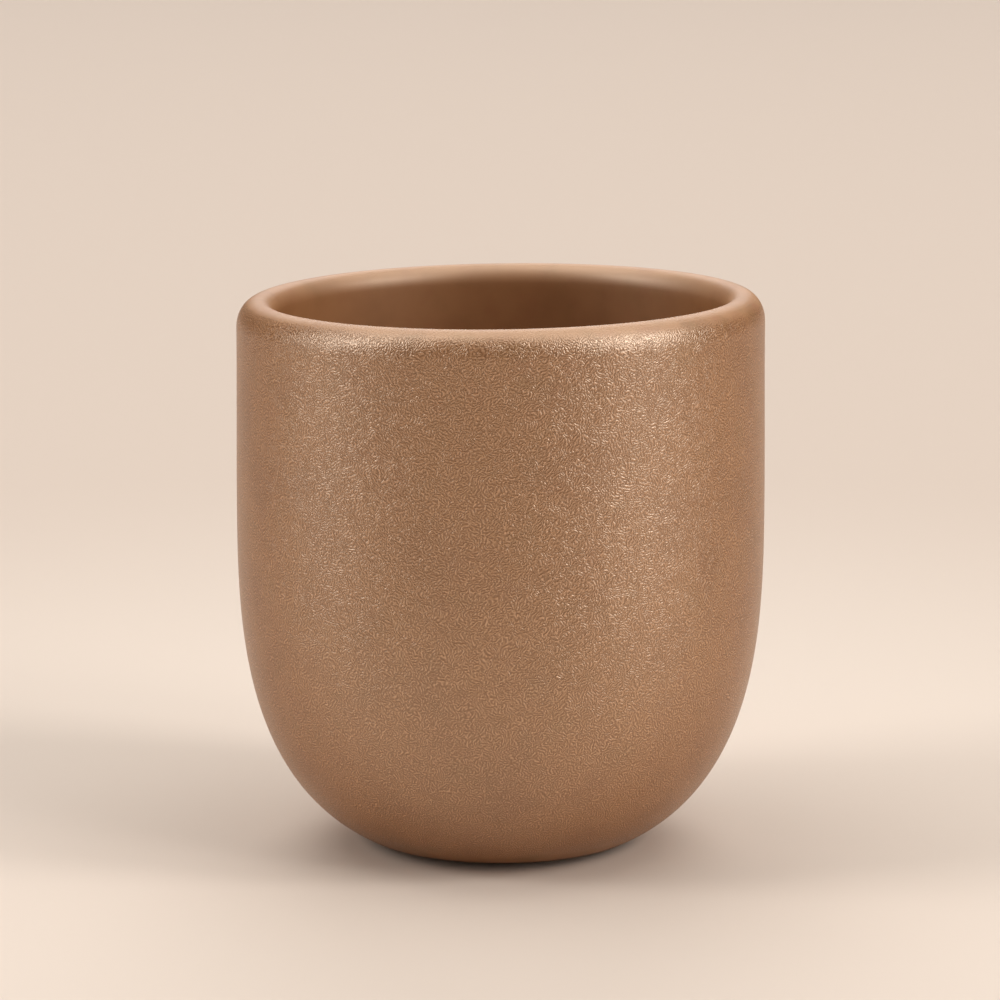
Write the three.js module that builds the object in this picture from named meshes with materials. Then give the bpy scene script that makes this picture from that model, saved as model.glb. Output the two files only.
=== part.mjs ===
// A handleless stoneware cappuccino cup, in millimetres, +Z up.
// The origin is the centre of the foot, on the surface that the cup stands on.
// The cup is a fired clay body under three coats of glaze, each a solid of its own. A coat lies on the clay
// face to face, because both are drawn from the same outline at two depths under the glazed surface.
import * as THREE from "three";

// Driving sizes, over the glaze where they don't say otherwise

const OUTER_RADIUS = 40; // at the widest, where the upright wall meets the bowl
const HEIGHT = 84; // from the table to the top of the lip
const BOWL_HEIGHT = 51; // from the table to where the wall starts to round in
const BOWL_FULLNESS = 2.8; // exponent of the bowl's curve: 2 is an ellipse, more is squarer
const WALL = 5.8; // wall and lip, from outside to inside
const LIP_HEIGHT = 4.1; // of the lip's rounding on the outside
const LIP_ROLL = 3.3; // from the outside in to the lip's crest
const INNER_LIP_HEIGHT = 2.9; // of the lip's rounding on the inside
const LIP_DRAW_IN = 0.25; // how far the wall leans in between the bowl and the lip
const FLOOR = 5.5; // between the drink and the hollow under the foot
const FOOT_RADIUS = 18; // outer edge of the flat ring of bare clay that the cup stands on
const FOOT_RING_WIDTH = 3; // of that flat ring
const HOLLOW_DEPTH = 1.6; // of the hollow inside the foot ring
const HOLLOW_FLARE = 0.8; // how far the hollow's side leans in on the way up
const GLAZE = 0.35; // thickness of each coat
const GLAZE_STOP = 1; // height over the table where the outer glaze is wiped off
const GLAZE_MEETING = 0.6; // depth under the lip's top where the outer and liner glazes meet
const BASE_GLAZE_MARGIN = 0.4; // bare clay between the base glaze and the hollow's side

// Finishes

const BARE_CLAY = { color: "#8a6447", roughness: 0.9, metalness: 0 };
const WRINKLED_SATIN = { color: "#9d7452", roughness: 0.55, metalness: 0 };
const SMOOTH_SATIN = { color: "#9d7452", roughness: 0.4, metalness: 0 };

// Fineness of the curves

const TURN_STEPS = 60;
const BOWL_STEPS = 12;
const WALL_STEPS = 3;
const LIP_STEPS = 5; // over each side's quarter turn

// Sizes worked out from the driving sizes

const crestRadius = OUTER_RADIUS - LIP_DRAW_IN - LIP_ROLL;
const insideFloorHeight = HOLLOW_DEPTH + FLOOR;
const hollowRadius = FOOT_RADIUS - FOOT_RING_WIDTH;
const hollowCeilingRadius = hollowRadius - HOLLOW_FLARE;
const hollowCeilingHeight = HOLLOW_DEPTH + GLAZE;

// The clay's curve comes down to the table at the outer edge of the foot ring.
const clayBowlDepth = BOWL_HEIGHT / unitCurve(FOOT_RADIUS / (OUTER_RADIUS - GLAZE));
const bowlDepth = clayBowlDepth + GLAZE;

// Angles in the unit curve and in the lip's outer quarter where the outer glaze starts and ends
const wipedDrop = (BOWL_HEIGHT - GLAZE_STOP) / bowlDepth;
const wipedAngle = Math.atan2(wipedDrop, unitCurve(wipedDrop));
const meetingAngle = Math.asin(1 - GLAZE_MEETING / LIP_HEIGHT);

// One coordinate of the curve |x|^n + |y|^n = 1 from the other.
function unitCurve(coordinate) {
  return (1 - coordinate ** BOWL_FULLNESS) ** (1 / BOWL_FULLNESS);
}

// Points evenly spread between two values, each made by a function of the value.
function stretch(steps, from, to, pointAt) {
  return Array.from({ length: steps + 1 }, (_, step) => {
    return new THREE.Vector2(...pointAt(THREE.MathUtils.lerp(from, to, step / steps)));
  });
}

// One outline from stretches that each start where the last one ends.
function joined(...stretches) {
  return stretches.reduce((outline, next) => [...outline, ...next.slice(1)]);
}

// The bowl's curve between two angles under its rim.
function bowlCurve(radius, depth, fromAngle, toAngle) {
  return stretch(BOWL_STEPS, fromAngle, toAngle, (angle) => {
    const across = Math.cos(angle);
    const down = Math.sin(angle);
    const size = (across ** BOWL_FULLNESS + down ** BOWL_FULLNESS) ** (1 / BOWL_FULLNESS);
    return [(radius * across) / size, BOWL_HEIGHT - (depth * down) / size];
  });
}

// The wall from the bowl's rim up to the lip: it leans in more the nearer it is to the lip.
function wallCurve(radius, lipHeight) {
  return stretch(WALL_STEPS, 0, 1, (rise) => {
    const height = THREE.MathUtils.lerp(BOWL_HEIGHT, HEIGHT - lipHeight, rise);
    return [radius - LIP_DRAW_IN * rise ** 2, height];
  });
}

// A stretch of an ellipse round the lip's crest: 0 is the outside of the wall, a quarter turn the crest and
// a half turn the inside.
function lipCurve(across, lipHeight, inset, fromAngle, toAngle) {
  const steps = Math.ceil((2 * LIP_STEPS * (toAngle - fromAngle)) / Math.PI);
  return stretch(steps, fromAngle, toAngle, (angle) => {
    const radius = crestRadius + (across - inset) * Math.cos(angle);
    return [radius, HEIGHT - lipHeight + (lipHeight - inset) * Math.sin(angle)];
  });
}

// The outside, a given depth under the glazed surface, from the wiped line up to where the glazes meet.
function outsideCurve(inset) {
  const radius = OUTER_RADIUS - inset;
  return joined(
    bowlCurve(radius, bowlDepth - inset, wipedAngle, 0),
    wallCurve(radius, LIP_HEIGHT),
    lipCurve(LIP_ROLL, LIP_HEIGHT, inset, 0, meetingAngle),
  );
}

// The rest of the lip and the inside, a given depth under the glazed surface, down to the axis.
function insideCurve(inset) {
  const radius = OUTER_RADIUS - WALL + inset;
  const depth = BOWL_HEIGHT - insideFloorHeight + inset;
  return joined(
    lipCurve(LIP_ROLL, LIP_HEIGHT, inset, meetingAngle, Math.PI / 2),
    lipCurve(WALL - LIP_ROLL, INNER_LIP_HEIGHT, inset, Math.PI / 2, Math.PI),
    wallCurve(radius, INNER_LIP_HEIGHT).reverse(),
    bowlCurve(radius, depth, 0, Math.PI / 2),
  );
}

// The hollow under the foot and the flat ring round it, from the axis out.
function footCurve() {
  return [
    new THREE.Vector2(0, hollowCeilingHeight),
    new THREE.Vector2(hollowCeilingRadius, hollowCeilingHeight),
    new THREE.Vector2(hollowRadius, 0),
    new THREE.Vector2(FOOT_RADIUS, 0),
  ];
}

// A named solid turned about +Z from an outline of radii and heights.
function turned(name, outline, finish) {
  const geometry = new THREE.LatheGeometry(outline, TURN_STEPS);
  const mesh = new THREE.Mesh(geometry, new THREE.MeshStandardMaterial(finish));
  mesh.name = name;
  mesh.rotation.x = Math.PI / 2;
  return mesh;
}

// The fired clay, up the outside, over the lip and down to the middle of the floor.
function clayBody() {
  const outline = [...footCurve(), ...joined(outsideCurve(GLAZE), insideCurve(GLAZE))];
  return turned("clay_body", outline, BARE_CLAY);
}

// The wrinkled coat on the outside.
function outerGlaze() {
  const surface = outsideCurve(0);
  const outline = [...surface, ...outsideCurve(GLAZE).reverse(), surface[0]];
  return turned("outer_glaze", outline, WRINKLED_SATIN);
}

// The smooth coat over the lip and down the inside.
function linerGlaze() {
  const outline = [...insideCurve(GLAZE).reverse(), ...insideCurve(0)];
  return turned("liner_glaze", outline, SMOOTH_SATIN);
}

// The patch of glaze in the hollow under the foot.
function baseGlaze() {
  const radius = hollowCeilingRadius - BASE_GLAZE_MARGIN;
  const outline = [
    new THREE.Vector2(0, HOLLOW_DEPTH),
    new THREE.Vector2(radius, HOLLOW_DEPTH),
    new THREE.Vector2(radius, hollowCeilingHeight),
    new THREE.Vector2(0, hollowCeilingHeight),
  ];
  return turned("base_glaze", outline, SMOOTH_SATIN);
}

const cup = new THREE.Group();
cup.add(clayBody(), outerGlaze(), linerGlaze(), baseGlaze());

export default cup;
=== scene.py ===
"""A handleless stoneware cappuccino cup on a pale studio floor.

The fired clay and its three coats of glaze are turned one by one from their outlines, as on a potter's
wheel. Everything is in metres, +Z up, with the centre of the foot at the origin.
"""

import itertools
import math

import bpy
from bpy.props import FloatProperty, FloatVectorProperty, IntProperty, PointerProperty
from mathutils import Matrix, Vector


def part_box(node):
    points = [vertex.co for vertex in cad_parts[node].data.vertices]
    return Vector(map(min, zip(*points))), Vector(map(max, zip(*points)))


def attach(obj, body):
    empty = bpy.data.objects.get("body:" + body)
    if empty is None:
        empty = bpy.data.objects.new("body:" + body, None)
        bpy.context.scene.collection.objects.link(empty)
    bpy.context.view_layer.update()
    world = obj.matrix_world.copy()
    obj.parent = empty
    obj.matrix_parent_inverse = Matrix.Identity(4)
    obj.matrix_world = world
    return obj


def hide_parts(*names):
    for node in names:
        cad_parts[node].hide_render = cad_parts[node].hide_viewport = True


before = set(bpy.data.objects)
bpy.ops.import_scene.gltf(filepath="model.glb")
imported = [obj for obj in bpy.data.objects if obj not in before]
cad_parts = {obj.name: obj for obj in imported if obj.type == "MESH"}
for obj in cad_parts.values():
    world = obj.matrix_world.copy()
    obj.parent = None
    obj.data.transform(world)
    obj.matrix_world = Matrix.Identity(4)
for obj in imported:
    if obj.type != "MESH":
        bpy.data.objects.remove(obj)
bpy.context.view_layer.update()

bl_info = {
    "name": "Stoneware Cup",
    "version": (1, 0, 0),
    "blender": (4, 5, 0),
    "location": "3D View > Sidebar > Stoneware Cup",
    "description": "Turns and glazes a handleless cappuccino cup",
    "category": "Add Mesh",
}

# What the frame gives

CLAY_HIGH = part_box("clay_body")[1]
OUTER_LOW, OUTER_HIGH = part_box("outer_glaze")
LINER_LOW, LINER_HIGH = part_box("liner_glaze")
POOL_LOW, POOL_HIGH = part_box("base_glaze")
COAT = LINER_HIGH.z - CLAY_HIGH.z

MM = 0.001

# The map for baking, in strips one above the other, with a small share for what other pieces cover
MAP_NAME = "OFBake"
MAP_STRIPS = 2
MAP_HIDDEN_SHARE = 0.06

# What each point of an outline tells the wheel: the share of the map and the way passed so far
MAP_SHARE = "map_share"
CLIMB = "climb"

MERGE_DISTANCE = 0.001 * MM
SHARP_BEND = math.radians(40)


def length(name, description, default):
    """A property that holds a length."""
    return FloatProperty(name=name, description=description, default=default, unit="LENGTH", precision=5)


def number(name, description, default, low=0):
    """A property that holds a number without a unit."""
    return FloatProperty(name=name, description=description, default=default, min=low, precision=5)


def colour(name, description, default):
    """A property that holds a colour, as linear red, green and blue."""
    return FloatVectorProperty(
        name=name, description=description, default=default, min=0, max=1, size=3, subtype="COLOR"
    )


class CupSizes(bpy.types.PropertyGroup):
    """Sizes of the turned pieces, over the glaze where they don't say otherwise"""

    outer_radius: length("Outer Radius", "At the widest, where the wall meets the bowl", OUTER_HIGH.x)
    height: length("Height", "From the table to the top of the lip", LINER_HIGH.z)
    bowl_height: length("Bowl Height", "From the table to where the wall starts to round in", 51 * MM)
    bowl_fullness: number("Bowl Fullness", "Exponent of the bowl's curve: 2 is an ellipse", 2.8, low=1)
    wall: length("Wall", "Wall and lip, from outside to inside", 5.8 * MM)
    lip_height: length("Lip Height", "Height of the lip's rounding on the outside", 4.1 * MM)
    lip_roll: length("Lip Roll", "From the outside in to the lip's crest", 3.3 * MM)
    inner_lip_height: length("Inner Lip Height", "Height of the lip's rounding on the inside", 2.9 * MM)
    lip_draw_in: length("Lip Draw In", "How far the wall leans in below the lip", 0.25 * MM)
    floor: length("Floor", "Between the drink and the foot's hollow", LINER_LOW.z + COAT - POOL_LOW.z)
    foot_radius: length("Foot Radius", "Outer edge of the bare ring that the cup stands on", 18 * MM)
    foot_ring_width: length("Foot Ring Width", "Width of the bare ring", 3 * MM)
    foot_edge: length("Foot Edge", "Rounding of the bare ring's edges", 0.4 * MM)
    hollow_depth: length("Hollow Depth", "Depth of the hollow inside the foot ring", POOL_LOW.z)
    hollow_flare: length("Hollow Flare", "How far the hollow's side leans in on the way up", 0.8 * MM)
    pool_radius: length("Base Glaze Radius", "Radius of the glaze in the foot's hollow", POOL_HIGH.x)
    pool_edge: length("Base Glaze Edge", "Width of that glaze's rounded edge", 1.2 * MM)
    coat: length("Coat", "Thickness of each coat of glaze", COAT)
    glaze_stop: length("Glaze Stop", "Height where the outer glaze is wiped off", OUTER_LOW.z)
    glaze_meeting: length(
        "Glaze Meeting", "Where the glazes meet below the lip's top", LINER_HIGH.z - OUTER_HIGH.z
    )
    rim_slope: number("Rim Slope", "Fall of the lip from right to left", 0.0135)
    unevenness: length("Unevenness", "How far the hand-turned surface dips in", 0.05 * MM)
    unevenness_pitch: length("Unevenness Pitch", "Distance from dip to dip", 14 * MM)
    steps_round: IntProperty(
        name="Steps Round", description="Faces round each piece", default=384, min=12
    )

    @property
    def crest_radius(self):
        return self.outer_radius - self.lip_draw_in - self.lip_roll

    @property
    def inside_floor_height(self):
        return self.hollow_depth + self.floor

    @property
    def hollow_radius(self):
        return self.foot_radius - self.foot_ring_width

    @property
    def ceiling_radius(self):
        return self.hollow_radius - self.hollow_flare

    @property
    def ceiling_height(self):
        return self.hollow_depth + self.coat

    @property
    def clay_bowl_depth(self):
        """Depth at which the clay's curve comes down to the table at the foot's outer edge."""
        return self.bowl_height / self.unit_curve(self.foot_radius / (self.outer_radius - self.coat))

    @property
    def bowl_depth(self):
        return self.clay_bowl_depth + self.coat

    @property
    def wiped_angle(self):
        """Angle in the unit curve where the outer glaze starts."""
        drop = (self.bowl_height - self.glaze_stop) / self.bowl_depth
        return math.atan2(drop, self.unit_curve(drop))

    @property
    def table_angle(self):
        """Angle in the unit curve where the clay comes down to the table."""
        drop = self.bowl_height / self.clay_bowl_depth
        return math.atan2(drop, self.unit_curve(drop))

    @property
    def meeting_angle(self):
        """Angle in the lip's outer quarter where the glazes meet."""
        return math.asin(1 - self.glaze_meeting / self.lip_height)

    def unit_curve(self, coordinate):
        """One coordinate of the curve |x|^n + |y|^n = 1 from the other."""
        return (1 - coordinate**self.bowl_fullness) ** (1 / self.bowl_fullness)


class GlazeColours(bpy.types.PropertyGroup):
    """Colours and grain of the glazes and the clay"""

    ground: colour("Ground", "Satin glaze between the wrinkles", (0.316, 0.144, 0.057))
    # wrinkle and furrow: partly the glaze thinner on the crests and pooled in the furrows, partly painted
    # highlight on the crests and painted shade in the furrows
    wrinkle: colour("Wrinkle", "Crests, where the glaze is thin and lighter", (0.456, 0.225, 0.107))
    furrow: colour("Furrow", "Furrows, where the glaze has pooled darker", (0.205, 0.087, 0.032))
    rosy: colour("Rosy Tint", "Share of the light that patches fired pinker keep", (0.93, 0.87, 0.89))
    olive: colour("Olive Tint", "Share of the light that patches fired greener keep", (0.86, 0.89, 0.83))
    umber: colour("Umber Tint", "Share of the light that wider, darker patches keep", (0.82, 0.775, 0.75))
    # lip: partly thinner glaze, partly painted highlight where the top of the lip catches the light from
    # above
    lip: colour("Lip", "Lip, where the glaze ran off and is thin and lighter", (0.435, 0.222, 0.107))
    # deep_liner: partly thicker glaze, partly painted shade down inside the cup
    deep_liner: colour("Deep Liner", "Inside, where the smooth glaze ran thicker", (0.3, 0.13, 0.05))
    pool: colour("Base Glaze", "Glaze in the hollow under the foot", (0.29, 0.139, 0.058))
    clay: colour("Clay", "Bare fired stoneware", (0.25, 0.13, 0.065))
    gloss_tint: colour("Gloss Tint", "Tint of the satin glaze's shine", (1, 0.8, 0.62))
    gloss_index: number("Gloss Index", "Refractive index of the satin glaze", 2.65)
    smooth_roughness: number("Smooth Roughness", "Of the smooth satin glaze", 0.5)
    wrinkle_roughness: number("Wrinkle Roughness", "Of the wrinkled glaze", 0.33)
    clay_roughness: number("Clay Roughness", "Of the bare clay", 0.9)
    wrinkle_pitch: length("Wrinkle Pitch", "Distance from wrinkle to wrinkle", 0.43 * MM)
    wrinkle_length: length("Wrinkle Length", "How far a wrinkle runs before it fades", 0.62 * MM)
    wrinkle_curl: length("Wrinkle Curl", "How far the wrinkles are pulled out of line", 1.5 * MM)
    wrinkle_height: length("Wrinkle Height", "How far a wrinkle stands up", 0.05 * MM)
    lip_smooth: length("Lip Smooth", "Depth under the lip's top where wrinkles start", 0.6 * MM)
    lip_wrinkled: length("Lip Wrinkled", "Depth under the lip's top where they are full", 2.6 * MM)
    foot_smooth: length("Foot Smooth", "Height over the table where wrinkles start", 1.0 * MM)
    foot_wrinkled: length("Foot Wrinkled", "Height over the table where they are full", 4.5 * MM)
    # Lip Thin and Lip Thick place the lip colour, with its painted highlight, on the outer glaze
    lip_thin: length("Lip Thin", "Depth under the lip's top where the outer glaze is thinnest", 0.5 * MM)
    lip_thick: length("Lip Thick", "Depth under the lip's top where it is full", 5.0 * MM)
    # Liner Thick fades the liner from the lip colour with its painted highlight to the deep liner colour
    # with its painted shade
    liner_thick: length("Liner Thick", "Depth under the lip's top where the liner is full", 4.5 * MM)
    grog_pitch: length("Grog Pitch", "Distance from grain to grain in the clay", 0.4 * MM)
    grog_height: length("Grog Height", "How far a grain in the clay stands up", 0.03 * MM)


class StageLights(bpy.types.PropertyGroup):
    """The floor, the camera's place and the studio light"""

    backdrop: colour("Backdrop", "What the camera sees beyond the floor", (0.76, 0.62, 0.515))
    floor: colour("Floor", "Pale floor round the cup", (0.69, 0.58, 0.488))
    # far_floor is darker than floor: painted fall-off of the light away from the cup, which leaves a
    # painted pool of light round it
    far_floor: colour("Far Floor", "The same floor in the distance", (0.6, 0.488, 0.403))
    floor_fade: length("Floor Fade", "Where the floor's colour starts to change, from the cup", 0.08)
    floor_faded: length("Floor Faded", "Where the floor's colour has changed, from the cup", 0.32)
    sky: number("Sky", "Strength of the light from all round", 0.06)
    camera_distance: length("Camera Distance", "From the camera to the point that it looks at", 0.6)
    camera_pitch: FloatProperty(
        name="Camera Pitch", description="How far the camera looks down", default=0.1884, subtype="ANGLE"
    )
    aim_height: length("Aim Height", "Height of the point that the camera looks at", 0.052)
    focal_length: number("Focal Length", "Of the camera's lens, in millimetres", 142.25)
    shift: number("Shift", "Sideways shift of the frame", -0.00066, low=-1)


# Outlines, as lists of radius and height

# Steps along the bowl, the wall and a quarter of the lip, of a surface that shows and of a covered one
SHOWN_STEPS = (96, 24, 24)
COVERED_STEPS = (24, 6, 8)
EDGE_STEPS = 8
SUPPORT = 0.02  # in radians, from the line where the glazes meet to the next ring


def spread(count, start, end):
    """Values evenly spread from start to end, with both."""
    return [start + (end - start) * step / count for step in range(count + 1)]


def bowl_curve(sizes, radius, depth, angles):
    """The bowl's curve at angles under its rim."""
    points = []
    for angle in angles:
        across, down = abs(math.cos(angle)), math.sin(angle)
        size = (across**sizes.bowl_fullness + down**sizes.bowl_fullness) ** (1 / sizes.bowl_fullness)
        points.append((radius * across / size, sizes.bowl_height - depth * down / size))
    return points


def wall_curve(sizes, radius, lip_height, steps):
    """The wall from the bowl's rim up to the lip, which leans in and is upright at both ends."""
    points = []
    wall_height = sizes.height - lip_height - sizes.bowl_height
    for rise in spread(steps, 0, 1):
        lean = sizes.lip_draw_in * rise * rise * (3 - 2 * rise)
        points.append((radius - lean, sizes.bowl_height + wall_height * rise))
    return points


def lip_curve(sizes, across, lip_height, inset, angles):
    """A stretch of an ellipse round the lip's crest: 0 is the outside, a quarter turn the crest."""
    points = []
    for angle in angles:
        radius = sizes.crest_radius + (across - inset) * math.cos(angle)
        points.append((radius, sizes.height - lip_height + (lip_height - inset) * math.sin(angle)))
    return points


def outside_curve(sizes, inset, steps):
    """The outside, a given depth under the glazed surface, up to where the glazes meet."""
    bowl_steps, wall_steps, lip_steps = steps
    radius = sizes.outer_radius - inset
    lip_angles = spread(lip_steps, 0, sizes.meeting_angle - SUPPORT) + [sizes.meeting_angle]
    return (
        bowl_curve(sizes, radius, sizes.bowl_depth - inset, spread(bowl_steps, sizes.wiped_angle, 0))
        + wall_curve(sizes, radius, sizes.lip_height, wall_steps)[1:]
        + lip_curve(sizes, sizes.lip_roll, sizes.lip_height, inset, lip_angles)[1:]
    )


def inside_curve(sizes, inset, steps):
    """The rest of the lip and the inside, a given depth under the glazed surface, down to the axis."""
    bowl_steps, wall_steps, lip_steps = steps
    radius = sizes.outer_radius - sizes.wall + inset
    depth = sizes.bowl_height - sizes.inside_floor_height + inset
    meeting = sizes.meeting_angle
    near = [meeting] + spread(lip_steps // 2, meeting + SUPPORT, math.pi / 2)
    far = spread(lip_steps, math.pi / 2, math.pi)
    wall = wall_curve(sizes, radius, sizes.inner_lip_height, wall_steps)[::-1]
    bowl = bowl_curve(sizes, radius, depth, spread(bowl_steps, 0, math.pi / 2))
    bowl[-1] = (0, bowl[-1][1])
    return (
        lip_curve(sizes, sizes.lip_roll, sizes.lip_height, inset, near)
        + lip_curve(sizes, sizes.wall - sizes.lip_roll, sizes.inner_lip_height, inset, far)[1:]
        + wall[1:]
        + bowl[1:]
    )


def rounded_end(start, end, bulge):
    """A half ellipse from one point round to another, which bulges to the right of the way there."""
    middle = ((start[0] + end[0]) / 2, (start[1] + end[1]) / 2)
    half = ((start[0] - end[0]) / 2, (start[1] - end[1]) / 2)
    size = math.hypot(*half)
    out = (-half[1] * bulge / size, half[0] * bulge / size)
    points = []
    for turn in spread(EDGE_STEPS, 0, math.pi):
        along, away = math.cos(turn), math.sin(turn)
        points.append(tuple(m + h * along + o * away for m, h, o in zip(middle, half, out)))
    return points


def rounded_corner(before, corner, after, radius):
    """A smooth bend in place of a corner, which starts and ends a given distance from it."""
    points = []
    start = toward(corner, before, radius)
    end = toward(corner, after, radius)
    for part in spread(EDGE_STEPS, 0, 1):
        first, middle, last = (1 - part) ** 2, 2 * part * (1 - part), part**2
        points.append(tuple(first * s + middle * c + last * e for s, c, e in zip(start, corner, end)))
    return points


def toward(point, target, distance):
    """The point a given distance from one point toward another."""
    size = math.dist(point, target)
    return tuple(p + (t - p) * distance / size for p, t in zip(point, target))


def clay_outline(sizes):
    """The hollow under the foot, the bare ring, the outside, the lip and the inside."""
    ceiling_edge = (sizes.ceiling_radius, sizes.ceiling_height)
    ring_inner = (sizes.hollow_radius, 0)
    ring_outer = (sizes.foot_radius, 0)
    bare_angles = spread(EDGE_STEPS, sizes.table_angle, sizes.wiped_angle)
    bare = bowl_curve(sizes, sizes.outer_radius - sizes.coat, sizes.clay_bowl_depth, bare_angles)
    ceiling = [(radius, sizes.ceiling_height) for radius in spread(EDGE_STEPS, 0, sizes.ceiling_radius)]
    return (
        ceiling[:-1]
        + rounded_corner(ceiling[0], ceiling_edge, ring_inner, sizes.foot_edge)
        + rounded_corner(ceiling_edge, ring_inner, ring_outer, sizes.foot_edge)
        + rounded_corner(ring_inner, ring_outer, bare[-1], sizes.foot_edge)
        + bare[1:]
        + outside_curve(sizes, sizes.coat, COVERED_STEPS)[1:]
        + inside_curve(sizes, sizes.coat, COVERED_STEPS)[1:]
    )


def outer_glaze_outline(sizes):
    """The wrinkled coat's face, its back against the clay and its rolled edge at the wiped line."""
    face = outside_curve(sizes, 0, SHOWN_STEPS)
    back = outside_curve(sizes, sizes.coat, COVERED_STEPS)[::-1]
    return face + back + rounded_end(back[-1], face[0], sizes.coat / 2)[1:]


def liner_outline(sizes):
    """The smooth coat's back, from the axis up to where the glazes meet, then its face back down."""
    return inside_curve(sizes, sizes.coat, COVERED_STEPS)[::-1] + inside_curve(sizes, 0, SHOWN_STEPS)


def pool_outline(sizes):
    """The base glaze's face, its rounded edge and its back against the hollow's ceiling."""
    face_radius = sizes.pool_radius - sizes.pool_edge
    face = [(radius, sizes.hollow_depth) for radius in spread(EDGE_STEPS, 0, face_radius)]
    rim = []
    for turn in spread(EDGE_STEPS, 0, math.pi / 2):
        radius = sizes.pool_radius - sizes.pool_edge * (1 - math.sin(turn))
        rim.append((radius, sizes.ceiling_height - sizes.coat * math.cos(turn)))
    return face + rim[1:] + [(0, sizes.ceiling_height)]


# Node trees

def node(tree, kind, inputs=None, **settings):
    """Adds a node, sets its options, and feeds its inputs with values or with other nodes' outputs."""
    made = tree.nodes.new(kind)
    for name, value in settings.items():
        setattr(made, name, value)
    for name, value in (inputs or {}).items():
        if isinstance(value, bpy.types.NodeSocket):
            tree.links.new(value, made.inputs[name])
        else:
            made.inputs[name].default_value = value
    return made


def maths(tree, operation, *values):
    """The result of a Math node on values or outputs."""
    return node(tree, "ShaderNodeMath", dict(enumerate(values)), operation=operation).outputs[0]


def vector_maths(tree, operation, *values):
    """The result of a Vector Math node on vectors."""
    return node(tree, "ShaderNodeVectorMath", dict(enumerate(values)), operation=operation).outputs[0]


def faded(tree, value, start, end, low=0.0, high=1.0):
    """A smooth step from low, where the value is at start, to high, where it is at end."""
    inputs = {"Value": value, "From Min": start, "From Max": end, "To Min": low, "To Max": high}
    return node(tree, "ShaderNodeMapRange", inputs, interpolation_type="SMOOTHSTEP").outputs["Result"]


def stored_values(tree, name):
    """The numbers that are stored on a shape under a name."""
    made = node(tree, "GeometryNodeInputNamedAttribute", {"Name": name}, data_type="FLOAT")
    return made.outputs["Attribute"]


def sampled(tree, shape, value, index, data_type="FLOAT"):
    """What a shape holds at the point with a given index."""
    inputs = {"Geometry": shape, "Value": value, "Index": index}
    return node(tree, "GeometryNodeSampleIndex", inputs, data_type=data_type).outputs["Value"]


# What the wheel is told, with the kind of each entry
WHEEL_ENTRIES = {
    "Outline": "NodeSocketGeometry",
    "Steps Round": "NodeSocketInt",
    "Radius": "NodeSocketFloat",
    "Height": "NodeSocketFloat",
    "Rim Slope": "NodeSocketFloat",
    "Unevenness": "NodeSocketFloat",
    "Unevenness Pitch": "NodeSocketFloat",
    "Finish": "NodeSocketMaterial",
}


def wheel_tree():
    """Geometry nodes that turn an outline of joined points round +Z into a closed, smooth shape."""
    tree = bpy.data.node_groups.new("Turned on the Wheel", "GeometryNodeTree")
    tree.is_modifier = True
    for name, kind in WHEEL_ENTRIES.items():
        tree.interface.new_socket(name, in_out="INPUT", socket_type=kind)
    tree.interface.new_socket("Shape", in_out="OUTPUT", socket_type="NodeSocketGeometry")
    given = tree.nodes.new("NodeGroupInput").outputs

    # a sheet of faces, one column for each step round and one row for each point of the outline
    size = node(tree, "GeometryNodeAttributeDomainSize", {"Geometry": given["Outline"]})
    rows = size.outputs["Point Count"]
    columns = maths(tree, "ADD", given["Steps Round"], 1)
    sheet = node(tree, "GeometryNodeMeshGrid", {"Vertices X": columns, "Vertices Y": rows})
    index = node(tree, "GeometryNodeInputIndex").outputs["Index"]
    # the half keeps the division clear of whole numbers, which rounding could bring down by one
    column = maths(tree, "FLOOR", maths(tree, "DIVIDE", maths(tree, "ADD", index, 0.5), rows))
    row = maths(tree, "SUBTRACT", index, maths(tree, "MULTIPLY", column, rows))
    turn = maths(tree, "DIVIDE", column, given["Steps Round"])

    shape = spun_sheet(tree, given["Outline"], sheet.outputs["Mesh"], row, turn)
    shape = mapped_sheet(tree, given["Outline"], shape, row, turn)
    closed = node(tree, "GeometryNodeMergeByDistance", {"Geometry": shape, "Distance": MERGE_DISTANCE})
    shape = hand_marked(tree, given, closed.outputs["Geometry"])
    real = node(tree, "GeometryNodeRealizeInstances", {"Geometry": smoothed(tree, shape)})
    inputs = {"Geometry": real.outputs["Geometry"], "Material": given["Finish"]}
    finished = node(tree, "GeometryNodeSetMaterial", inputs)
    node(tree, "NodeGroupOutput", {"Shape": finished.outputs["Geometry"]})
    return tree


def spun_sheet(tree, outline, sheet, row, turn):
    """The sheet with each of its rows taken round the axis at the outline's point."""
    place = node(tree, "GeometryNodeInputPosition").outputs["Position"]
    spun = node(
        tree,
        "ShaderNodeVectorRotate",
        {
            "Vector": sampled(tree, outline, place, row, "FLOAT_VECTOR"),
            "Angle": maths(tree, "MULTIPLY", turn, math.tau),
        },
        rotation_type="Z_AXIS",
    )
    inputs = {"Geometry": sheet, "Position": spun.outputs[0]}
    return node(tree, "GeometryNodeSetPosition", inputs).outputs["Geometry"]


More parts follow.
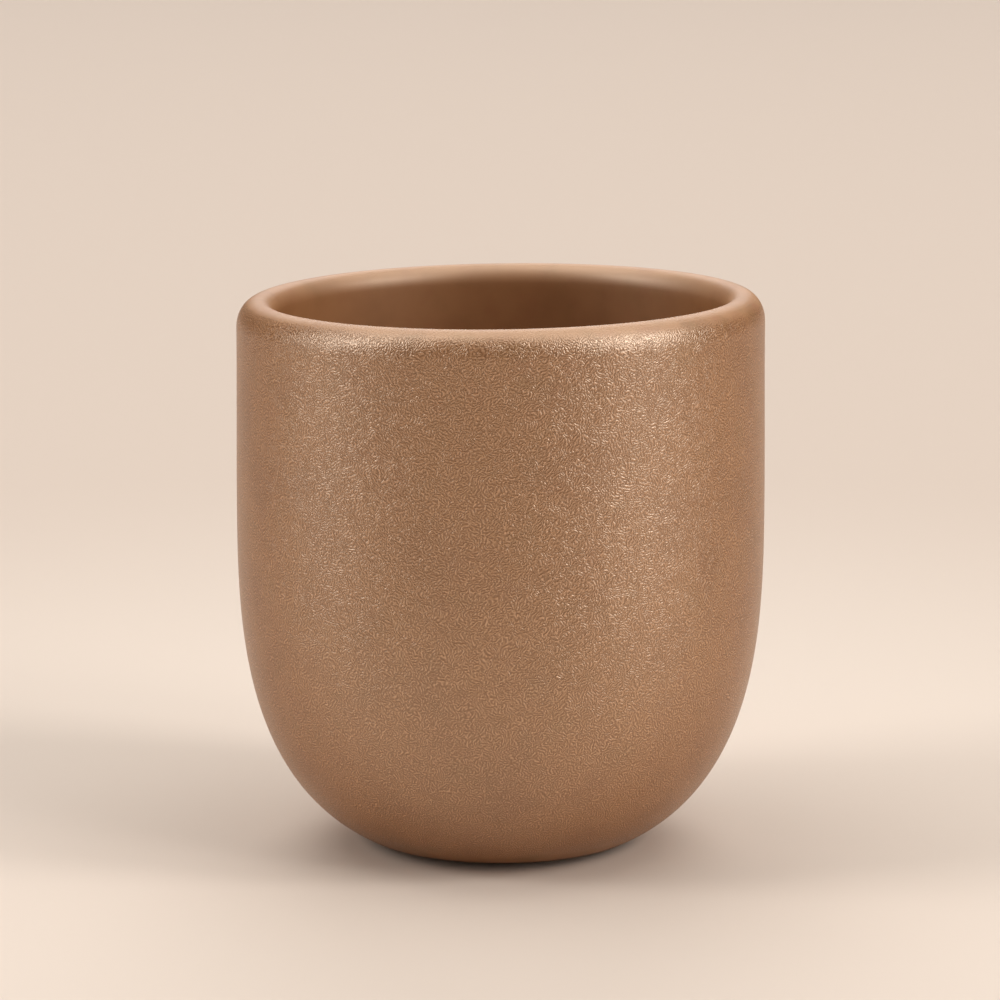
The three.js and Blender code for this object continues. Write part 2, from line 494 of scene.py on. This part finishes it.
def mapped_sheet(tree, outline, sheet, row, turn):
    """The sheet with its map for baking, turn across and share of the outline up, and with its climb."""
    share = sampled(tree, outline, stored_values(tree, MAP_SHARE), row)
    turn_at_points, share_at_points = (
        node(tree, "GeometryNodeFieldOnDomain", {"Value": field}, domain="POINT").outputs["Value"]
        for field in (turn, share)
    )
    turn_at_face = node(tree, "GeometryNodeFieldOnDomain", {"Value": turn_at_points}, domain="FACE")
    strip = maths(tree, "FLOOR", maths(tree, "MULTIPLY", turn_at_face.outputs["Value"], MAP_STRIPS))
    across = maths(tree, "SUBTRACT", maths(tree, "MULTIPLY", turn_at_points, MAP_STRIPS), strip)
    up = maths(tree, "DIVIDE", maths(tree, "ADD", share_at_points, strip), MAP_STRIPS)
    spot = node(tree, "ShaderNodeCombineXYZ", {"X": across, "Y": up}).outputs["Vector"]
    mapped = node(
        tree,
        "GeometryNodeStoreNamedAttribute",
        {"Geometry": sheet, "Name": MAP_NAME, "Value": spot},
        data_type="FLOAT2",
        domain="CORNER",
    )
    climb = sampled(tree, outline, stored_values(tree, CLIMB), row)
    marked = node(
        tree,
        "GeometryNodeStoreNamedAttribute",
        {"Geometry": mapped.outputs["Geometry"], "Name": CLIMB, "Value": climb},
        data_type="FLOAT",
        domain="POINT",
    )
    return marked.outputs["Geometry"]


def hand_marked(tree, given, shape):
    """The shape with shallow dips all over, and a lip that is lowest on the left."""
    place = node(tree, "GeometryNodeInputPosition").outputs["Position"]
    scale = maths(tree, "DIVIDE", 1, given["Unevenness Pitch"])
    dips = node(tree, "ShaderNodeTexNoise", {"Vector": place, "Scale": scale, "Detail": 1.0})
    depth = maths(tree, "MULTIPLY", dips.outputs["Fac"], given["Unevenness"])
    inward = maths(tree, "MULTIPLY", depth, -1)
    axes = node(tree, "ShaderNodeSeparateXYZ", {"Vector": place}).outputs
    sideways = node(tree, "ShaderNodeCombineXYZ", {"X": axes["X"], "Y": axes["Y"]}).outputs["Vector"]
    outward = vector_maths(tree, "NORMALIZE", sideways)
    dip = node(tree, "ShaderNodeVectorMath", {0: outward, "Scale": inward}, operation="SCALE").outputs[0]

    # the upper half falls toward the left, more and more up to the lip
    half = maths(tree, "MULTIPLY", given["Height"], 0.5)
    over_half = maths(tree, "DIVIDE", maths(tree, "SUBTRACT", axes["Z"], half), half)
    rise = maths(tree, "MAXIMUM", over_half, 0)
    from_right = maths(tree, "SUBTRACT", axes["X"], given["Radius"])
    fall = maths(tree, "MULTIPLY", maths(tree, "MULTIPLY", from_right, rise), given["Rim Slope"])
    fallen = node(tree, "ShaderNodeCombineXYZ", {"Z": fall}).outputs["Vector"]
    inputs = {"Geometry": shape, "Offset": vector_maths(tree, "ADD", dip, fallen)}
    return node(tree, "GeometryNodeSetPosition", inputs).outputs["Geometry"]


def smoothed(tree, shape):
    """The shape shaded smooth all over but for the edges where a coat ends."""
    bend = node(tree, "GeometryNodeInputMeshEdgeAngle").outputs["Unsigned Angle"]
    sharp = node(tree, "FunctionNodeCompare", {"A": bend, "B": SHARP_BEND}, operation="GREATER_THAN")
    smooth = node(tree, "GeometryNodeSetShadeSmooth", {"Geometry": shape}, domain="FACE")
    inputs = {
        "Geometry": smooth.outputs["Geometry"],
        "Selection": sharp.outputs["Result"],
        "Shade Smooth": False,
    }
    return node(tree, "GeometryNodeSetShadeSmooth", inputs, domain="EDGE").outputs["Geometry"]


def turned_piece(context, name, outline, shown, finish):
    """A piece turned from its outline, as a plain mesh. The stretch that shows gets most of the map."""
    sizes = context.scene.cup_sizes
    mesh = bpy.data.meshes.new(name)
    edges = [(step, step + 1) for step in range(len(outline) - 1)]
    mesh.from_pydata([(radius, 0, height) for radius, height in outline], edges, [])
    steps = [0] + [math.dist(a, b) for a, b in zip(outline, outline[1:])]
    marks = {CLIMB: list(itertools.accumulate(steps)), MAP_SHARE: map_shares(outline, shown)}
    for mark, values in marks.items():
        mesh.attributes.new(mark, "FLOAT", "POINT").data.foreach_set("value", values)
    piece = bpy.data.objects.new(name, mesh)
    context.collection.objects.link(piece)

    tree = bpy.data.node_groups.get("Turned on the Wheel") or wheel_tree()
    modifier = piece.modifiers.new("Wheel", "NODES")
    modifier.node_group = tree
    values = {
        "Steps Round": sizes.steps_round,
        "Radius": sizes.outer_radius,
        "Height": sizes.height,
        "Rim Slope": sizes.rim_slope,
        "Unevenness": sizes.unevenness,
        "Unevenness Pitch": sizes.unevenness_pitch,
        "Finish": finish,
    }
    for entry in tree.interface.items_tree:
        if entry.name in values:
            modifier[entry.identifier] = values[entry.name]
    evaluated = piece.evaluated_get(context.evaluated_depsgraph_get())
    piece.data = bpy.data.meshes.new_from_object(evaluated)
    piece.data.name = name
    piece.modifiers.remove(modifier)
    bpy.data.meshes.remove(mesh)
    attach(piece, "root")
    return piece


def map_shares(outline, shown):
    """For each point, how far up the map it lies. The stretch that shows has most of the map."""
    steps = [math.dist(a, b) for a, b in zip(outline, outline[1:])]
    first, last = shown
    inside = sum(steps[first:last])
    outside = sum(steps) - inside
    hidden_share = MAP_HIDDEN_SHARE if outside else 0
    place = 0
    places = [place]
    for index, step in enumerate(steps):
        if first <= index < last:
            place += step / inside * (1 - hidden_share)
        else:
            place += step / outside * hidden_share
        places.append(place)
    return places


# Finishes

def finish_tree(name):
    """A new material, its node tree, its shader and the place on the cup in millimetres."""
    material = bpy.data.materials.new(name)
    material.use_nodes = True
    tree = material.node_tree
    shader = tree.nodes["Principled BSDF"]
    metres = node(tree, "ShaderNodeTexCoord").outputs["Object"]
    place = node(tree, "ShaderNodeVectorMath", {0: metres, "Scale": 1 / MM}, operation="SCALE")
    return material, tree, shader, place.outputs[0]


def add_gloss(shader, colours):
    """The dense, warm shine of the satin glaze."""
    shader.inputs["IOR"].default_value = colours.gloss_index
    shader.inputs["Specular Tint"].default_value = (*colours.gloss_tint, 1)


def left_at_slant(tree, start, end, share):
    """The share of the shine that is left between two slants, where 0 is square on and 1 is edge on."""
    slant = node(tree, "ShaderNodeLayerWeight", {"Blend": 0.5}).outputs["Facing"]
    return faded(tree, slant, start, end, 1.0, share)


def noise(tree, place, pitch, detail=2.0):
    """Soft noise with a given distance in millimetres from spot to spot."""
    inputs = {"Vector": place, "Scale": 1 / pitch, "Detail": detail}
    return node(tree, "ShaderNodeTexNoise", inputs).outputs["Fac"]


def blended(tree, amount, first, second, blend_type="MIX"):
    """One colour over another, or blended with it in another way."""
    made = node(tree, "ShaderNodeMix", {"Factor": amount}, data_type="RGBA", blend_type=blend_type)
    # the sockets for colours share their names with those for numbers, so they are taken by their places
    for socket, value in ((made.inputs[6], first), (made.inputs[7], second)):
        if isinstance(value, bpy.types.NodeSocket):
            tree.links.new(value, socket)
        else:
            socket.default_value = (*value, 1)
    return made.outputs[2]


# Patches of another tint: where their noise starts and its pitch, both in millimetres, and the noise at
# which a patch starts and is full
PATCHES = {
    "rosy": ((0.0, 0.0, 0.0), 3.5, 0.5, 0.75),
    "olive": ((70.0, 20.0, 40.0), 4.5, 0.5, 0.75),
    "umber": ((30.0, 90.0, 10.0), 9.0, 0.4, 0.7),
}


def satin_clouds(tree, place, colours, ground, strength=1.0):
    """The glaze's own colour, with soft rosy and olive patches and wider dark ones."""
    for name, (start, pitch, low, high) in PATCHES.items():
        spots = noise(tree, vector_maths(tree, "ADD", place, start), pitch)
        amount = faded(tree, spots, low, high, 0.0, strength)
        ground = blended(tree, amount, ground, getattr(colours, name), "MULTIPLY")
    return ground


# Levels of shine
FURROW_SHINE = 0.4
CREST_SHINE = 0.64
LIP_SHINE = 0.5
DEEP_LINER_SHINE = 0.12

# Slants at which the shine starts to fade and is weakest, and the share of it that is left there
WRINKLE_SLANT = (0.2, 0.7, 0.35)
LINER_SLANT = (0.35, 0.85, 0.14)

# Share of a wrinkle's height over or under its middle where a crest or furrow has its own colour in full:
# the crest's painted highlight and the furrow's painted shade
FULL_WRINKLE = 0.4


def wrinkled_satin_finish(colours, sizes):
    """Satin glaze with fine wrinkles, which fade out at the lip and the foot."""
    material, tree, shader, place = finish_tree("wrinkled_satin")
    height = node(tree, "ShaderNodeSeparateXYZ", {"Vector": place}).outputs["Z"]
    top = sizes.height / MM
    below_lip = faded(tree, height, top - colours.lip_smooth / MM, top - colours.lip_wrinkled / MM)
    over_foot = faded(tree, height, colours.foot_smooth / MM, colours.foot_wrinkled / MM)
    amount = maths(tree, "MULTIPLY", below_lip, over_foot)
    crests = wrinkle_crests(tree, place, colours, sizes)
    relief = maths(tree, "MULTIPLY", maths(tree, "SUBTRACT", crests, 0.5), amount)

    # lighter toward the lip: partly thinner glaze, partly painted highlight on the lip's top
    near_lip = faded(tree, height, top - colours.lip_thick / MM, top - colours.lip_thin / MM)
    clouds = satin_clouds(tree, place, colours, blended(tree, near_lip, colours.ground, colours.lip))
    # crests lighter and furrows darker: partly the glaze breaking and pooling, partly painted highlight
    # and painted shade of the relief
    light = blended(tree, faded(tree, relief, 0.0, FULL_WRINKLE), clouds, colours.wrinkle)
    tinted = blended(tree, faded(tree, relief, 0.0, -FULL_WRINKLE), light, colours.furrow)
    tree.links.new(tinted, shader.inputs["Base Color"])
    rough = faded(tree, amount, 0.0, 1.0, colours.smooth_roughness, colours.wrinkle_roughness)
    tree.links.new(rough, shader.inputs["Roughness"])
    add_gloss(shader, colours)
    # the furrows lie in the crests' shade, and seen at a slant the wrinkles hide each other's shiny sides
    open_to_light = faded(tree, relief, -FULL_WRINKLE, FULL_WRINKLE, FURROW_SHINE, CREST_SHINE)
    shine = maths(tree, "MULTIPLY", open_to_light, left_at_slant(tree, *WRINKLE_SLANT))
    tree.links.new(shine, shader.inputs["Specular IOR Level"])
    raised = maths(tree, "MULTIPLY", relief, colours.wrinkle_height)
    bump = node(tree, "ShaderNodeBump", {"Height": raised, "Distance": 1.0, "Strength": 1.0})
    tree.links.new(bump.outputs["Normal"], shader.inputs["Normal"])
    return material


# Distances in millimetres over which the wrinkles are pulled out of line and change their lean, the turns
# that the lean may make, how much they keep to it, and the texture's values in a furrow and on a crest
CURL_PITCH = 3.0
LEAN_PITCH = 2.2
LEAN_TURNS = 2
WRINKLE_ORDER = 0.5
FURROW_BOTTOM = 0.28
CREST_TOP = 0.8


def wrinkle_crests(tree, place, colours, sizes):
    """Short curly wrinkles on a map laid flat round the cup, from 0 in a furrow to 1 on a crest."""
    axes = node(tree, "ShaderNodeSeparateXYZ", {"Vector": place}).outputs
    turn = maths(tree, "ABSOLUTE", maths(tree, "ARCTAN2", axes["Y"], axes["X"]))
    around = maths(tree, "MULTIPLY", turn, sizes.outer_radius / MM)
    climb = node(tree, "ShaderNodeAttribute", attribute_name=CLIMB).outputs["Fac"]
    up = maths(tree, "DIVIDE", climb, MM)
    flat = node(tree, "ShaderNodeCombineXYZ", {"X": around, "Y": up}).outputs["Vector"]
    curl = node(tree, "ShaderNodeTexNoise", {"Vector": place, "Scale": 1 / CURL_PITCH, "Detail": 1.0})
    pull = {0: curl.outputs["Color"], "Scale": colours.wrinkle_curl / MM}
    bent = node(tree, "ShaderNodeVectorMath", pull, operation="SCALE")
    lean = maths(tree, "MULTIPLY", noise(tree, place, LEAN_PITCH, 1.0), LEAN_TURNS * math.tau)
    ridges = node(
        tree,
        "ShaderNodeTexGabor",
        {
            "Vector": vector_maths(tree, "ADD", flat, bent.outputs[0]),
            "Scale": MM / colours.wrinkle_length,
            "Frequency": colours.wrinkle_length / colours.wrinkle_pitch,
            "Anisotropy": WRINKLE_ORDER,
            "Orientation": lean,
        },
        gabor_type="2D",
    ).outputs["Value"]
    return faded(tree, ridges, FURROW_BOTTOM, CREST_TOP)


LINER_PATCHES = 0.5  # strength of the patches inside, beside that of the ones outside


def liner_finish(colours, sizes):
    """The same glaze without wrinkles, which is thicker, darker and duller down inside; the darker colour
    there is partly painted shade, and the lighter lip colour partly painted highlight.
    """
    material, tree, shader, place = finish_tree("smooth_satin")
    height = node(tree, "ShaderNodeSeparateXYZ", {"Vector": place}).outputs["Z"]
    top = sizes.height / MM
    # lighter at the lip and darker down inside: partly the glaze thinner and thicker, partly painted
    # highlight on the lip and painted shade inside the cup
    deep = faded(tree, height, top, top - colours.liner_thick / MM)
    ground = blended(tree, deep, colours.lip, colours.deep_liner)
    tree.links.new(satin_clouds(tree, place, colours, ground, LINER_PATCHES), shader.inputs["Base Color"])
    shader.inputs["Roughness"].default_value = colours.smooth_roughness
    add_gloss(shader, colours)
    level = faded(tree, deep, 0.0, 1.0, LIP_SHINE, DEEP_LINER_SHINE)
    shine = maths(tree, "MULTIPLY", level, left_at_slant(tree, *LINER_SLANT))
    tree.links.new(shine, shader.inputs["Specular IOR Level"])
    return material


def pool_finish(colours):
    """Smooth satin glaze in the hollow under the foot."""
    material, tree, shader, place = finish_tree("base_satin")
    tree.links.new(satin_clouds(tree, place, colours, colours.pool), shader.inputs["Base Color"])
    shader.inputs["Roughness"].default_value = colours.smooth_roughness
    add_gloss(shader, colours)
    return material


DARK_GROG = 0.75  # share of the clay's light that its darkest grains keep


def bare_clay_finish(colours):
    """Dry, sandy fired stoneware."""
    material, tree, shader, place = finish_tree("dry_clay")
    grog = noise(tree, place, colours.grog_pitch / MM, 3.0)
    dark = tuple(DARK_GROG * part for part in colours.clay)
    tree.links.new(blended(tree, grog, colours.clay, dark), shader.inputs["Base Color"])
    shader.inputs["Roughness"].default_value = colours.clay_roughness
    raised = maths(tree, "MULTIPLY", grog, colours.grog_height)
    bump = node(tree, "ShaderNodeBump", {"Height": raised, "Distance": 1.0})
    tree.links.new(bump.outputs["Normal"], shader.inputs["Normal"])
    return material


# Operators

class CUP_OT_clay_body(bpy.types.Operator):
    """Turn the fired clay body with its bare foot ring"""

    bl_idname = "cup.clay_body"
    bl_label = "Clay Body"

    def execute(self, context):
        sizes = context.scene.cup_sizes
        outline = clay_outline(sizes)
        finish = bare_clay_finish(context.scene.cup_colours)
        # what shows is the hollow's ceiling, the foot's three rounded corners and most of the bare band
        shown = (0, 5 * EDGE_STEPS)
        piece = turned_piece(context, "stoneware_body", outline, shown, finish)
        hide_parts("clay_body")
        return {"FINISHED"}


class CUP_OT_outer_glaze(bpy.types.Operator):
    """Coat the outside with wrinkled satin glaze"""

    bl_idname = "cup.outer_glaze"
    bl_label = "Outer Glaze"

    def execute(self, context):
        sizes = context.scene.cup_sizes
        outline = outer_glaze_outline(sizes)
        finish = wrinkled_satin_finish(context.scene.cup_colours, sizes)
        shown = (0, len(outside_curve(sizes, 0, SHOWN_STEPS)) - 1)
        piece = turned_piece(context, "wrinkled_coat", outline, shown, finish)
        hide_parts("outer_glaze")
        return {"FINISHED"}


class CUP_OT_liner_glaze(bpy.types.Operator):
    """Coat the lip and the inside with smooth satin glaze"""

    bl_idname = "cup.liner_glaze"
    bl_label = "Liner Glaze"

    def execute(self, context):
        sizes = context.scene.cup_sizes
        colours = context.scene.cup_colours
        outline = liner_outline(sizes)
        finish = liner_finish(colours, sizes)
        shown = (len(outline) - len(inside_curve(sizes, 0, SHOWN_STEPS)), len(outline) - 1)
        piece = turned_piece(context, "liner_coat", outline, shown, finish)
        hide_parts("liner_glaze")
        return {"FINISHED"}


class CUP_OT_base_glaze(bpy.types.Operator):
    """Fill the hollow under the foot with a thin pool of glaze"""

    bl_idname = "cup.base_glaze"
    bl_label = "Base Glaze"

    def execute(self, context):
        sizes = context.scene.cup_sizes
        colours = context.scene.cup_colours
        outline = pool_outline(sizes)
        finish = pool_finish(colours)
        shown = (0, len(outline) - 2)  # all but the back
        piece = turned_piece(context, "base_glaze_pool", outline, shown, finish)
        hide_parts("base_glaze")
        return {"FINISHED"}


class CUP_OT_stage(bpy.types.Operator):
    """Lay the pale floor and set the camera and the studio lights"""

    bl_idname = "cup.stage"
    bl_label = "Stage"

    def execute(self, context):
        stage = context.scene.cup_stage
        lay_floor(context, stage)
        set_camera(context, stage)
        set_lights(context, stage)
        return {"FINISHED"}


# Stage

FLOOR_RADIUS = 8.0
FLOOR_SIDES = 96
FLOOR_ROUGHNESS = 0.9
FLOOR_SHINE = 0.2
SENSOR_WIDTH = 36  # in millimetres


def lay_floor(context, stage):
    """A round pale floor that reaches past the view."""
    rim = []
    for side in range(FLOOR_SIDES):
        turn = math.tau * side / FLOOR_SIDES
        rim.append((FLOOR_RADIUS * math.cos(turn), FLOOR_RADIUS * math.sin(turn), 0))
    mesh = bpy.data.meshes.new("floor")
    mesh.from_pydata(rim, [], [list(range(FLOOR_SIDES))])
    floor = bpy.data.objects.new("floor", mesh)
    context.collection.objects.link(floor)
    material = bpy.data.materials.new("pale_floor")
    material.use_nodes = True
    tree = material.node_tree
    shader = tree.nodes["Principled BSDF"]
    place = node(tree, "ShaderNodeTexCoord").outputs["Object"]
    distance = node(tree, "ShaderNodeVectorMath", {0: place}, operation="LENGTH").outputs["Value"]
    # darker from floor_fade out to floor_faded: painted fall-off of the light, a painted pool of light
    # round the cup
    far = faded(tree, distance, stage.floor_fade, stage.floor_faded)
    tree.links.new(blended(tree, far, stage.floor, stage.far_floor), shader.inputs["Base Color"])
    shader.inputs["Roughness"].default_value = FLOOR_ROUGHNESS
    shader.inputs["Specular IOR Level"].default_value = FLOOR_SHINE
    mesh.materials.append(material)


def set_camera(context, stage):
    """The camera, a little above the lip and square to the cup."""
    camera = bpy.data.cameras.new("camera")
    camera.lens = stage.focal_length
    camera.sensor_width = SENSOR_WIDTH
    camera.shift_x = stage.shift
    holder = bpy.data.objects.new("camera", camera)
    back = stage.camera_distance * math.cos(stage.camera_pitch)
    up = stage.camera_distance * math.sin(stage.camera_pitch)
    holder.location = (0, -back, stage.aim_height + up)
    holder.rotation_euler = (math.pi / 2 - stage.camera_pitch, 0, 0)
    context.collection.objects.link(holder)
    context.scene.camera = holder


# Upright soft panels: turn to the right of the front in degrees, width, lower edge and upper edge in
# shares of their distance, and glow
PANEL_DISTANCE = 5.0
PANELS = {
    "left_low_panel": (-82, 0.44, 0.0, 0.5, 2.9),
    "left_high_panel": (-78, 0.4, 0.5, 1.0, 8.2),
    "right_low_panel": (64, 0.44, 0.0, 0.5, 3.6),
    "right_high_panel": (50, 0.26, 0.5, 1.0, 6.0),
    "right_side_panel": (72, 0.28, 0.5, 1.0, 13.5),
}

# Broad far lamps: turn to the right of the front and height over the horizon in degrees, and strength
FAR_LAMP_WIDTH = math.radians(40)
FAR_LAMPS = {
    "right_lamp": (60, 65, 0.4),
    "back_right_lamp": (120, 65, 0.55),
    "back_lamp": (180, 32, 1.1),
    "back_left_lamp": (-120, 65, 0.8),
    "left_lamp": (-60, 65, 0.25),
}


def hang_lamp(context, name, lamp, turn, height):
    """An object for a lamp that shines toward the axis from a turn and a height, both in degrees."""
    holder = bpy.data.objects.new(name, lamp)
    holder.rotation_euler = (math.radians(90 - height), 0, math.radians(turn))
    holder.visible_camera = False
    context.collection.objects.link(holder)
    return holder


def set_lights(context, stage):
    """Panels at both sides, lamps all round, a weak sky, and a backdrop beyond the floor."""
    for name, (turn, width, low, high, glow) in PANELS.items():
        lamp = bpy.data.lights.new(name, "AREA")
        lamp.shape = "RECTANGLE"
        lamp.size, lamp.size_y = width * PANEL_DISTANCE, (high - low) * PANEL_DISTANCE
        lamp.energy = math.pi * lamp.size * lamp.size_y * glow
        holder = hang_lamp(context, name, lamp, turn, 0)
        around = math.radians(turn)
        direction = (math.sin(around), -math.cos(around), (low + high) / 2)
        holder.location = [PANEL_DISTANCE * part for part in direction]
    for name, (turn, height, strength) in FAR_LAMPS.items():
        lamp = bpy.data.lights.new(name, "SUN")
        lamp.energy = strength
        lamp.angle = FAR_LAMP_WIDTH
        hang_lamp(context, name, lamp, turn, height)
    world = bpy.data.worlds.new("soft_sky")
    world.use_nodes = True
    tree = world.node_tree
    seen = node(tree, "ShaderNodeLightPath").outputs["Is Camera Ray"]
    sky = (stage.sky, stage.sky, stage.sky)
    tree.links.new(blended(tree, seen, sky, stage.backdrop), tree.nodes["Background"].inputs["Color"])
    context.scene.world = world
    context.scene.view_settings.view_transform = "Standard"


class CUP_PT_panel(bpy.types.Panel):
    """Lists what makes the cup"""

    bl_idname = "CUP_PT_panel"
    bl_label = "Stoneware Cup"
    bl_space_type = "VIEW_3D"
    bl_region_type = "UI"
    bl_category = "Stoneware Cup"

    def draw(self, context):
        for operator in OPERATORS:
            self.layout.operator(operator.bl_idname)
        for group in (context.scene.cup_sizes, context.scene.cup_colours, context.scene.cup_stage):
            box = self.layout.box()
            for name in group.__annotations__:
                box.prop(group, name)


GROUPS = {"cup_sizes": CupSizes, "cup_colours": GlazeColours, "cup_stage": StageLights}
OPERATORS = (CUP_OT_clay_body, CUP_OT_outer_glaze, CUP_OT_liner_glaze, CUP_OT_base_glaze, CUP_OT_stage)


def register():
    for cls in (*GROUPS.values(), *OPERATORS, CUP_PT_panel):
        bpy.utils.register_class(cls)
    for name, group in GROUPS.items():
        setattr(bpy.types.Scene, name, PointerProperty(type=group))


def unregister():
    for name in GROUPS:
        delattr(bpy.types.Scene, name)
    for cls in reversed((*GROUPS.values(), *OPERATORS, CUP_PT_panel)):
        bpy.utils.unregister_class(cls)


def main():
    register()
    bpy.ops.cup.clay_body()
    bpy.ops.cup.outer_glaze()
    bpy.ops.cup.liner_glaze()
    bpy.ops.cup.base_glaze()
    bpy.ops.cup.stage()


if __name__ == "__main__":
    main()
